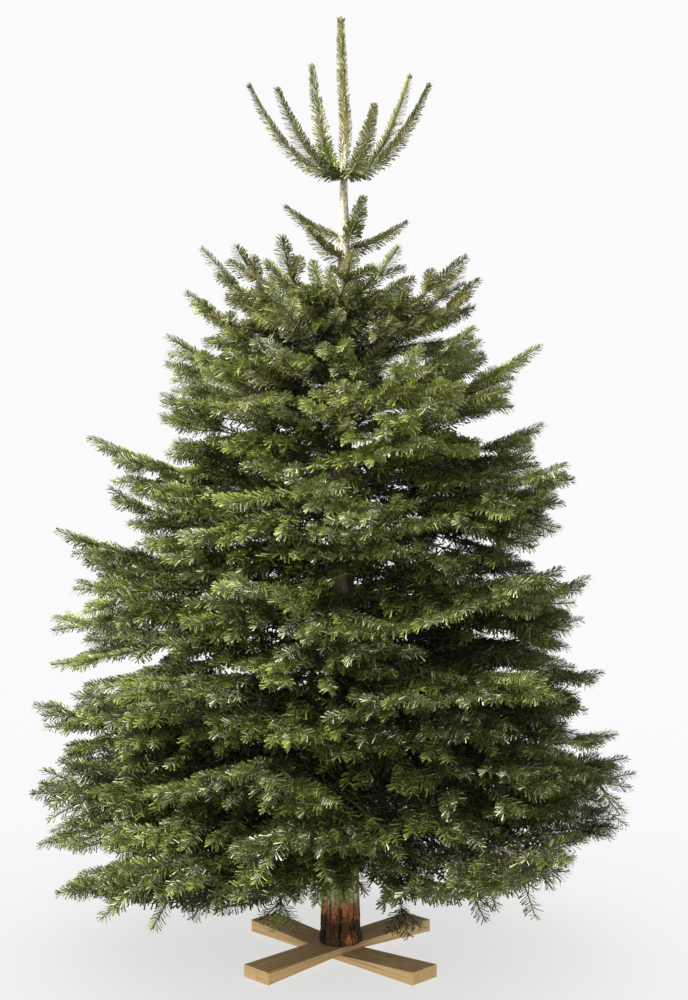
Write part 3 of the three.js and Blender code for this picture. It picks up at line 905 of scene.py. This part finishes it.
def make_trunk(material, boughs):
    """The trunk, with its bark's relief and a swelling round the foot of every bough."""
    work = bmesh.new()
    draw_limb(work, trunk_stations(), TRUNK_SIDES)
    feet = np.array([(b["azimuth"], b["path"][0].z, b["thickness"]) for b in boughs if b["row"] > 1])
    for vert in work.verts:
        height = vert.co.z
        middle = float(trunk_middle(height))
        angle = math.atan2(vert.co.y, vert.co.x - middle)
        radius = math.hypot(vert.co.x - middle, vert.co.y)
        turn = np.remainder(angle - feet[:, 0] + math.pi, math.tau) - math.pi
        apart = np.hypot(turn * radius, height - feet[:, 1]) / (feet[:, 2] * 2.2)
        swelling = float(np.sum(feet[:, 2] * 0.4 * np.exp(-(apart**2))))
        full = radius + bark_relief(angle, height, radius) + swelling
        vert.co.x = middle + full * math.cos(angle)
        vert.co.y = full * math.sin(angle)
    bmesh.ops.recalc_face_normals(work, faces=work.faces)
    for face in work.faces:
        face.smooth = True
    return add_piece(mesh_from_bmesh("trunk_bark", work), [material], ["trunk"])


def bark_material(settings):
    """Living fir bark: smooth grey-cream when young, rough and torn orange-brown near the foot."""
    material = plain_material("fir bark, torn near the cut", settings.stem_bark, 0.9)
    tree = material.node_tree
    shader = tree.nodes["Principled BSDF"]
    place = add_node(tree, "ShaderNodeTexCoord").outputs["Object"]
    height = add_node(tree, "ShaderNodeSeparateXYZ", {0: place}).outputs["Z"]
    # Torn strips run up the stem, about 8 mm wide and 70 mm long, with finer ones in them.
    stretched = add_node(tree, "ShaderNodeMapping", {"Vector": place, "Scale": (130, 130, 14)}).outputs[0]
    strips = add_node(tree, "ShaderNodeTexNoise", {"Vector": stretched, "Scale": 1.0, "Detail": 5.0})
    strips = strips.outputs["Fac"]
    patches = add_node(tree, "ShaderNodeTexNoise", {"Vector": place, "Scale": 45.0, "Detail": 4.0})
    # The colours change with height, at ragged edges that follow the strips and patches.
    ragged = {0: strips, 1: -0.085, 2: height}
    ragged = add_node(tree, "ShaderNodeMath", ragged, operation="MULTIPLY_ADD").outputs[0]
    ragged = {0: patches.outputs["Fac"], 1: -0.07, 2: ragged}
    ragged = add_node(tree, "ShaderNodeMath", ragged, operation="MULTIPLY_ADD").outputs[0]
    span = {"Value": ragged, "From Min": CUT_HEIGHT - 0.078, "From Max": TREE_TOP}
    scaled = add_node(tree, "ShaderNodeMapRange", span)
    ramp = add_node(tree, "ShaderNodeValToRGB", {"Fac": scaled.outputs[0]})
    stops = (
        (0.0, settings.foot_bark),
        (0.027, settings.foot_bark),
        (0.030, settings.torn_bark),
        (0.042, settings.torn_bark),
        (0.046, settings.pale_bark),
        (0.064, settings.pale_bark),
        (0.085, settings.stem_bark),
        (0.58, settings.stem_bark),
        (0.68, settings.young_bark),
        (0.825, settings.young_bark),
        (0.845, settings.leader_bark),
        (1.0, settings.leader_bark),
    )
    elements = ramp.color_ramp.elements
    while len(elements) < len(stops):
        elements.new(0.5)
    for element, (position, colour) in zip(elements, stops):
        element.position = position
        element.color = (*colour, 1)
    # A torn patch, about 35 mm across, low on the right of the front.
    spot = {0: place, 1: (0.024, -0.040, CUT_HEIGHT + 0.016)}
    spot = add_node(tree, "ShaderNodeVectorMath", spot, operation="DISTANCE").outputs["Value"]
    edge = add_node(tree, "ShaderNodeMath", {0: strips, 1: 0.04, 2: spot}, operation="MULTIPLY_ADD")
    inside = {"Value": edge.outputs[0], "From Min": 0.035, "From Max": 0.039}
    inside.update({"To Min": 1.0, "To Max": 0.0})
    patch = add_node(tree, "ShaderNodeMapRange", inside).outputs[0]
    colours = {FACTOR: patch, COLOUR_A: ramp.outputs["Color"], COLOUR_B: (*settings.torn_bark, 1)}
    torn = add_node(tree, "ShaderNodeMix", colours, **BLEND).outputs[MIXED]
    # Fine mottling, about 5 mm across.
    fine = {"Vector": place, "Scale": 190.0, "Detail": 6.0, "Roughness": 0.65}
    fine = add_node(tree, "ShaderNodeTexNoise", fine).outputs["Fac"]
    mottled = {"Value": fine, "From Min": 0.36, "From Max": 0.62, "To Min": 0.45, "To Max": 1.25}
    mottled = add_node(tree, "ShaderNodeMapRange", mottled).outputs[0]
    colours = {FACTOR: 1.0, COLOUR_A: torn, COLOUR_B: mottled}
    colour = add_node(tree, "ShaderNodeMix", colours, **MULTIPLY).outputs[MIXED]
    # Dark gaps open between the torn strips, most of all in the lowest 120 mm: partly the bark's own
    # darker fissures, partly painted shade in the hollows of the bump.
    near_cut = {"Value": height, "From Min": CUT_HEIGHT + 0.08, "From Max": CUT_HEIGHT + 0.12}
    near_cut.update({"To Min": 0.14, "To Max": 0.62})
    near_cut = add_node(tree, "ShaderNodeMapRange", near_cut).outputs[0]
    fissure_colour_and_shade = {"Value": strips, "From Min": 0.43, "From Max": 0.55, "To Min": near_cut, "To Max": 1.15}
    fissure_colour_and_shade = add_node(tree, "ShaderNodeMapRange", fissure_colour_and_shade).outputs[0]
    colours = {FACTOR: 1.0, COLOUR_A: colour, COLOUR_B: fissure_colour_and_shade}
    colour = add_node(tree, "ShaderNodeMix", colours, **MULTIPLY).outputs[MIXED]
    bump = add_node(tree, "ShaderNodeBump", {"Height": strips, "Strength": 0.5, "Distance": 0.002})
    tree.links.new(colour, shader.inputs["Base Color"])
    tree.links.new(bump.outputs[0], shader.inputs["Normal"])
    shader.inputs["Specular IOR Level"].default_value = 0.15
    return material


# The boughs

STATIONS_PER_YEAR = 3
BOUGH_TIP_RADIUS = 0.0010


def bough_stations(bough):
    """Places, headings and radii along a bough, smoothed where one year's growth meets the next."""
    path = bough["path"]
    foot, tip = bough["thickness"], BOUGH_TIP_RADIUS
    count = (len(path) - 1) * STATIONS_PER_YEAR
    headings = [(b - a).normalized() for a, b in zip(path, path[1:])]
    stations = []
    for step in range(count + 1):
        where = step / STATIONS_PER_YEAR
        index = min(int(where), len(path) - 2)
        here = path[index].lerp(path[index + 1], where - index)
        past = where - index - 0.5
        beside = min(max(index + (1 if past > 0 else -1), 0), len(headings) - 1)
        heading = headings[index].lerp(headings[beside], abs(past)).normalized()
        share = step / count
        radius = (foot + (tip - foot) * share**0.6) * (1 + 0.35 * math.exp(-share * 22))
        stations.append((here, heading, radius))
    return stations


def make_boughs(name, boughs, material, nodes=()):
    """Boughs with wrinkled bark, joined into one piece."""
    work = bmesh.new()
    for bough in boughs:
        draw_limb(work, bough_stations(bough), 8 if bough["row"] in LARGE_ROWS else 6)
    bmesh.ops.recalc_face_normals(work, faces=work.faces)
    work.normal_update()
    for vert in work.verts:
        vert.co += vert.normal * 0.0006 * noise.noise(vert.co * 110)
    for face in work.faces:
        face.smooth = True
    return add_piece(mesh_from_bmesh(name, work), [material], nodes)


def bough_material(settings):
    """Bough bark: dull grey-brown, with fine wrinkles and resin blisters that catch a little light."""
    material = plain_material("fir bough bark, wrinkled", settings.bough_bark, 0.85)
    tree = material.node_tree
    place = add_node(tree, "ShaderNodeTexCoord").outputs["Object"]
    # Wrinkles and blisters about 3 mm apart.
    wrinkles = add_node(tree, "ShaderNodeTexNoise", {"Vector": place, "Scale": 330.0, "Detail": 4.0})
    relief = {"Height": wrinkles.outputs["Fac"], "Strength": 0.6, "Distance": 0.0008}
    bump = add_node(tree, "ShaderNodeBump", relief)
    tree.links.new(bump.outputs[0], tree.nodes["Principled BSDF"].inputs["Normal"])
    return material


# The stand

# Half of the play between the two boards, beside them and where they lap.
NOTCH_PLAY = 0.0003
LAP_PLAY = 0.00015
EASED_EDGE = 0.0014


def board_shape(name):
    """A board's angle, length, width, bottom and top, read from its CAD node."""
    points = node_points(name)
    x, y = points[points[:, 0].argmax(), :2]
    turn = math.radians(45) if x * y > 0 else math.radians(-45)
    along = points[:, 0] * math.cos(turn) + points[:, 1] * math.sin(turn)
    across = points[:, 1] * math.cos(turn) - points[:, 0] * math.sin(turn)
    return turn, np.ptp(along), np.ptp(across), points[:, 2].min(), points[:, 2].max()


def make_board(name, node, notch_above, material):
    """One board of the cross: its outline with the halving notch, drawn out to its width and eased."""
    turn, length, width, bottom, top = board_shape(node)
    half = width / 2 + NOTCH_PLAY
    middle = (bottom + top) / 2
    if notch_above:
        edge, lap, other = top, middle - LAP_PLAY, bottom
    else:
        edge, lap, other = bottom, middle + LAP_PLAY, top
    outline = [
        (-length / 2, edge),
        (-half, edge),
        (-half, lap),
        (half, lap),
        (half, edge),
        (length / 2, edge),
        (length / 2, other),
        (-length / 2, other),
    ]
    work = bmesh.new()
    corners = [work.verts.new((x, -width / 2, z)) for x, z in outline]
    face = bmesh.ops.contextual_create(work, geom=corners)["faces"]
    drawn = bmesh.ops.extrude_face_region(work, geom=face)["geom"]
    far_side = [part for part in drawn if isinstance(part, bmesh.types.BMVert)]
    bmesh.ops.translate(work, vec=(0, width, 0), verts=far_side)
    bmesh.ops.recalc_face_normals(work, faces=work.faces)
    bmesh.ops.bevel(
        work,
        geom=[edge for edge in work.edges if edge.is_convex],
        offset=EASED_EDGE,
        affect="EDGES",
        segments=2,
        profile=0.5,
        material=-1,
        clamp_overlap=True,
    )
    bmesh.ops.rotate(work, cent=(0, 0, 0), matrix=Matrix.Rotation(turn, 3, "Z"), verts=work.verts)
    return add_piece(mesh_from_bmesh(name, work), [material], [node])


def pine_material(name, turn, settings):
    """Sawn softwood: straw-coloured early wood with thin brown late wood lines along the board."""
    material = plain_material(name, settings.early_wood, 0.68)
    tree = material.node_tree
    shader = tree.nodes["Principled BSDF"]
    place = add_node(tree, "ShaderNodeTexCoord").outputs["Object"]
    turned = add_node(tree, "ShaderNodeMapping", {"Vector": place, "Rotation": (0, 0, -turn)}).outputs[0]
    # Grain lines about 3 mm apart, which wander slowly along the board.
    squeezed = add_node(tree, "ShaderNodeMapping", {"Vector": turned, "Scale": (5, 330, 330)}).outputs[0]
    lines = add_node(tree, "ShaderNodeTexNoise", {"Vector": squeezed, "Scale": 1.0, "Detail": 2.0})
    lines = lines.outputs["Fac"]
    late = add_node(tree, "ShaderNodeMapRange", {"Value": lines, "From Min": 0.46, "From Max": 0.66})
    colours = {FACTOR: late.outputs[0], COLOUR_A: (*settings.early_wood, 1)}
    colours[COLOUR_B] = (*settings.late_wood, 1)
    mixed = add_node(tree, "ShaderNodeMix", colours, **BLEND).outputs[MIXED]
    # Lighter and darker parts of the board, about 100 mm across.
    wander = add_node(tree, "ShaderNodeTexNoise", {"Vector": turned, "Scale": 9.0, "Detail": 3.0})
    shaded = {"Value": wander.outputs["Fac"], "To Min": 0.85, "To Max": 1.1}
    shaded = add_node(tree, "ShaderNodeMapRange", shaded).outputs[0]
    colours = {FACTOR: 1.0, COLOUR_A: mixed, COLOUR_B: shaded}
    colour = add_node(tree, "ShaderNodeMix", colours, **MULTIPLY).outputs[MIXED]
    bump = add_node(tree, "ShaderNodeBump", {"Height": lines, "Strength": 0.15, "Distance": 0.0005})
    tree.links.new(colour, shader.inputs["Base Color"])
    tree.links.new(bump.outputs[0], shader.inputs["Normal"])
    return material


def zinc_material(settings):
    """Zinc plated steel: bright and bluish, with the plating's faint cloudiness in its gloss."""
    material = plain_material("zinc plated steel", settings.zinc, 0.35, 1.0)
    tree = material.node_tree
    place = add_node(tree, "ShaderNodeTexCoord").outputs["Object"]
    # Clouds about 2 mm across.
    clouds = add_node(tree, "ShaderNodeTexNoise", {"Vector": place, "Scale": 500.0, "Detail": 2.0})
    gloss = {"Value": clouds.outputs["Fac"], "To Min": 0.28, "To Max": 0.42}
    gloss = add_node(tree, "ShaderNodeMapRange", gloss).outputs[0]
    tree.links.new(gloss, tree.nodes["Principled BSDF"].inputs["Roughness"])
    return material


# The stage

FLOOR_ONLY = "floor only"
ALL_BUT_FLOOR = "all but the floor"
# Each sun: the way it shines, its strength, its angle across in degrees, and what it lights. The
# floor has a light of its own, so that the tree's shadow on it stays faint.
LIGHTS = (
    ("key light", (3.1, 2.3, -3.4), 8.4, 14, ALL_BUT_FLOOR),
    ("soft light from the front", (0.6, 1.2, -0.4), 1.45, 60, ALL_BUT_FLOOR),
    ("floor light", (0.0, 0.0, -1.0), 5.93, 20, FLOOR_ONLY),
)
WORLD_STRENGTH = 0.96
FLOOR_RADIUS = 30
# The floor lies just under the stand's boards.
FLOOR_DROP = 0.0005
CAMERA_PLACE = (0.0075, -3.8, 1.3)
# In degrees.
CAMERA_TILT_DOWN = 4.54
# In millimetres.
CAMERA_LENS = 63.8
CAMERA_SENSOR = 36


def make_floor(settings):
    """A round matt floor under the stand."""
    work = bmesh.new()
    bmesh.ops.create_circle(work, cap_ends=True, segments=64, radius=FLOOR_RADIUS)
    bmesh.ops.translate(work, vec=(0, 0, -FLOOR_DROP), verts=work.verts)
    floor = bpy.data.objects.new("floor", mesh_from_bmesh("floor", work))
    bpy.context.scene.collection.objects.link(floor)
    matt = plain_material("studio floor, matt white", settings.floor, 1.0)
    matt.node_tree.nodes["Principled BSDF"].inputs["Specular IOR Level"].default_value = 0
    floor.data.materials.append(matt)
    return floor


def make_lights(floor):
    """The studio's suns and its plain white surroundings."""
    scene = bpy.context.scene
    lit = {what: bpy.data.collections.new(what) for what in (FLOOR_ONLY, ALL_BUT_FLOOR)}
    for collection in lit.values():
        collection.objects.link(floor)
    lit[ALL_BUT_FLOOR].collection_objects[0].light_linking.link_state = "EXCLUDE"
    for name, shines, energy, across, what in LIGHTS:
        lamp = bpy.data.lights.new(name, "SUN")
        lamp.energy = energy
        lamp.angle = math.radians(across)
        light = bpy.data.objects.new(name, lamp)
        light.rotation_euler = Vector(shines).to_track_quat("-Z", "Y").to_euler()
        light.light_linking.receiver_collection = lit[what]
        if what == FLOOR_ONLY:
            light.light_linking.blocker_collection = lit[what]
        scene.collection.objects.link(light)
    world = bpy.data.worlds.new("studio")
    world.use_nodes = True
    world.node_tree.nodes["Background"].inputs["Color"].default_value = (1, 1, 1, 1)
    world.node_tree.nodes["Background"].inputs["Strength"].default_value = WORLD_STRENGTH
    scene.world = world
    scene.view_settings.view_transform = "Standard"


def make_camera():
    """The camera, in front of the tree and looking down a little."""
    scene = bpy.context.scene
    camera = bpy.data.objects.new("camera", bpy.data.cameras.new("camera"))
    camera.location = CAMERA_PLACE
    camera.rotation_euler = (math.radians(90 - CAMERA_TILT_DOWN), 0, 0)
    camera.data.lens = CAMERA_LENS
    camera.data.sensor_width = CAMERA_SENSOR
    scene.collection.objects.link(camera)
    scene.camera = camera


# Settings


def colour_setting(name, description, hex_colour):
    """A colour that a user may change."""
    return FloatVectorProperty(
        name=name, description=description, default=linear(hex_colour), subtype="COLOR", min=0, max=1
    )


class FirTreeSettings(bpy.types.PropertyGroup):
    """The sizes and colours of the tree, its stand and its floor"""

    seed: IntProperty(name="Seed", description="Number that every random choice grows from", default=159)
    needle_length: FloatProperty(
        name="Needle length", description="Length of a full needle", default=0.0203, unit="LENGTH"
    )
    needle_width: FloatProperty(
        name="Needle width", description="Width of a full needle", default=0.0022, unit="LENGTH"
    )
    needles_per_metre: FloatProperty(
        name="Needles per metre", description="Needles on a metre of young shoot", default=1700.0
    )
    # The deep and dark greens serve in part as painted shade inside the crown, in the low rows and
    # beneath shoots, and the bright and fresh greens in part as painted light.
    bright_needle: colour_setting("Bright needle", "Yellow-green of well lit young sprays", "#808B46")
    fresh_needle: colour_setting("Fresh needle", "Middle green of young sprays", "#606930")
    green_needle: colour_setting("Green needle", "Green of most of the foliage", "#434B23")
    dark_needle: colour_setting("Dark needle", "Dark green of older sprays", "#3E4021")
    deep_needle: colour_setting("Deep needle", "Nearly black green inside the crown", "#30311A")
    # The pale green stands in part for painted glints as well as for wax.
    pale_needle: colour_setting("Pale needle", "Grey-white wax on the underside of a needle", "#B2B49A")
    khaki_needle: colour_setting("Khaki needle", "Brownish green of shoots near the tip", "#7F7D49")
    tan_twig: colour_setting("Tan twig", "Tan skin of the twigs high on the tree", "#8C7A52")
    young_twig: colour_setting("Young twig", "Olive-brown skin of the current year's twigs", "#4B4729")
    old_twig: colour_setting("Old twig", "Grey-brown bark of older twigs", "#40392B")
    bough_bark: colour_setting("Bough bark", "Dull bark of the boughs", "#4E453A")
    bud: colour_setting("Bud", "Resinous brown bud scales", "#6C5D3A")
    foot_bark: colour_setting("Foot bark", "Dark crust just above the cut", "#45321F")
    torn_bark: colour_setting("Torn bark", "Orange-brown strips where the bark has torn", "#9A633F")
    pale_bark: colour_setting("Pale bark", "Pale greenish-grey bark above the torn strips", "#BFB68E")
    stem_bark: colour_setting("Stem bark", "Grey-brown bark of the stem", "#6A5A46")
    young_bark: colour_setting("Young bark", "Smooth cream-grey bark below the top whorl", "#C9C0AB")
    leader_bark: colour_setting("Leader bark", "Tan skin of the leader", "#81774F")
    early_wood: colour_setting("Early wood", "Straw colour of the cross", "#C4A572")
    late_wood: colour_setting("Late wood", "Brown lines of the cross's grain", "#9C7443")
    zinc: colour_setting("Zinc", "Bright zinc plating", "#B4B6B8")
    floor: colour_setting("Floor", "Pale studio floor", "#9D9D9D")


def needle_materials(settings):
    """Waxy needles, glossy on top, in plain greens that are dealt out by spray and by painted light and
    shade.
    """
    materials = []
    for kind in NEEDLE_KINDS:
        material = plain_material(f"fir needle, {kind}", getattr(settings, f"{kind}_needle"), 0.33)
        gloss = 0.4 if kind == "pale" else 0.12
        material.node_tree.nodes["Principled BSDF"].inputs["Specular IOR Level"].default_value = gloss
        materials.append(material)
    return materials


def twig_materials(settings):
    """Twig skin: smooth and olive when young, greyer and duller with age, and tan high on the tree."""
    finishes = (
        ("fir twig, this year", settings.young_twig, 0.6),
        ("fir twig, last year", settings.old_twig, 0.7),
        ("fir twig, older", settings.bough_bark, 0.8),
        ("fir twig, tan", settings.tan_twig, 0.6),
    )
    return [plain_material(*finish) for finish in finishes]


# Operators


class FIRTREE_OT_trunk(bpy.types.Operator):
    """Draws the trunk up from its cut to the leader's tip"""

    bl_idname = "firtree.trunk"
    bl_label = "Trunk"

    def execute(self, context):
        settings = context.scene.fir_tree
        _, boughs = grown_tree(settings.seed)
        make_trunk(bark_material(settings), boughs)
        return {"FINISHED"}


class FIRTREE_OT_boughs(bpy.types.Operator):
    """Draws every bough out from the trunk"""

    bl_idname = "firtree.boughs"
    bl_label = "Boughs"

    def execute(self, context):
        settings = context.scene.fir_tree
        _, boughs = grown_tree(settings.seed)
        old = [b for b in boughs if b["row"] > 1]
        nodes = [f"row{row}_bough_{i}" for row in BARE_ROWS for i in MASSES]
        make_boughs("boughs", old, bough_material(settings), nodes)
        young = [b for b in boughs if b["row"] == 1]
        make_boughs("upright_shoots", young, twig_materials(settings)[TAN_TWIG])
        return {"FINISHED"}


class FIRTREE_OT_twigs(bpy.types.Operator):
    """Joins the twigs of each row"""

    bl_idname = "firtree.twigs"
    bl_label = "Twigs"

    def execute(self, context):
        settings = context.scene.fir_tree
        shoots, _ = grown_tree(settings.seed)
        for name, rows in (("twigs_upper", (2, 3, 4, 5)), ("twigs_lower", (6, 7, 8))):
            chosen = [s for s in shoots if s["row"] in rows and s["order"] > 0]
            make_twigs(name, chosen, twig_materials(settings))
        return {"FINISHED"}


class FIRTREE_OT_needles(bpy.types.Operator):
    """Clothes the shoots of each row in needles"""

    bl_idname = "firtree.needles"
    bl_label = "Needles"

    def execute(self, context):
        settings = context.scene.fir_tree
        shoots, _ = grown_tree(settings.seed)
        materials = needle_materials(settings)
        young = [s for s in shoots if s["row"] == 1]
        make_needles("needles_top", young, materials, TOP_SHOOTS + STEM_SHOOTS, settings)
        for row in ROWS:
            # The larger rows are joined in two or three pieces, by the masses that they stand for.
            groups = (MASSES,)
            if row in LARGE_ROWS:
                groups = ((1, 2, 3), (4, 5))
            if row in BARE_ROWS:
                groups = ((1, 2), (3, 4), (5,))
            for letter, group in zip("abc", groups):
                chosen = [s for s in shoots if s["row"] == row and s["mass"] in group]
                nodes = [f"row{row}_foliage_{i}" for i in group]
                make_needles(f"needles_row{row}_{letter}", chosen, materials, nodes, settings)
        return {"FINISHED"}


class FIRTREE_OT_buds(bpy.types.Operator):
    """Sets buds on the tips of the young shoots"""

    bl_idname = "firtree.buds"
    bl_label = "Buds"

    def execute(self, context):
        settings = context.scene.fir_tree
        shoots, _ = grown_tree(settings.seed)
        # Resin makes the brown scales a little glossy.
        make_buds(shoots, plain_material("fir bud, resinous", settings.bud, 0.45))
        return {"FINISHED"}


class FIRTREE_OT_stand(bpy.types.Operator):
    """Builds the halved wooden cross and dresses its screws in zinc"""

    bl_idname = "firtree.stand"
    bl_label = "Stand"

    def execute(self, context):
        settings = context.scene.fir_tree
        for name, node, above in (
            ("lower_board", "stand_lower_board", True),
            ("upper_board", "stand_upper_board", False),
        ):
            turn = board_shape(node)[0]
            material = pine_material(f"sawn pine, {name.replace('_', ' ')}", turn, settings)
            make_board(name, node, above, material)
        zinc = zinc_material(settings)
        for node in ("stand_screw_1", "stand_screw_2"):
            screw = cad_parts[node]
            screw.data.materials.clear()
            screw.data.materials.append(zinc)
        return {"FINISHED"}


class FIRTREE_OT_stage(bpy.types.Operator):
    """Sets up the floor, the lights and the camera"""

    bl_idname = "firtree.stage"
    bl_label = "Stage"

    def execute(self, context):
        make_lights(make_floor(context.scene.fir_tree))
        make_camera()
        return {"FINISHED"}


OPERATORS = (
    FIRTREE_OT_stage,
    FIRTREE_OT_trunk,
    FIRTREE_OT_boughs,
    FIRTREE_OT_twigs,
    FIRTREE_OT_needles,
    FIRTREE_OT_buds,
    FIRTREE_OT_stand,
)


class FIRTREE_PT_panel(bpy.types.Panel):
    """Buttons that grow the tree piece by piece"""

    bl_idname = "FIRTREE_PT_panel"
    bl_label = "Fir Tree"
    bl_space_type = "VIEW_3D"
    bl_region_type = "UI"
    bl_category = "Fir Tree"

    def draw(self, context):
        for name in FirTreeSettings.__annotations__:
            self.layout.prop(context.scene.fir_tree, name)
        for operator in OPERATORS:
            self.layout.operator(operator.bl_idname)


CLASSES = (FirTreeSettings, *OPERATORS, FIRTREE_PT_panel)


def register():
    """Adds the settings, the operators and the panel to Blender"""
    for cls in CLASSES:
        bpy.utils.register_class(cls)
    bpy.types.Scene.fir_tree = PointerProperty(type=FirTreeSettings)


def unregister():
    """Takes them away again"""
    del bpy.types.Scene.fir_tree
    for cls in reversed(CLASSES):
        bpy.utils.unregister_class(cls)


def main():
    """Makes every piece in turn"""
    register()
    bpy.ops.firtree.stage()
    bpy.ops.firtree.trunk()
    bpy.ops.firtree.boughs()
    bpy.ops.firtree.twigs()
    bpy.ops.firtree.needles()
    bpy.ops.firtree.buds()
    bpy.ops.firtree.stand()


if __name__ == "__main__":
    main()
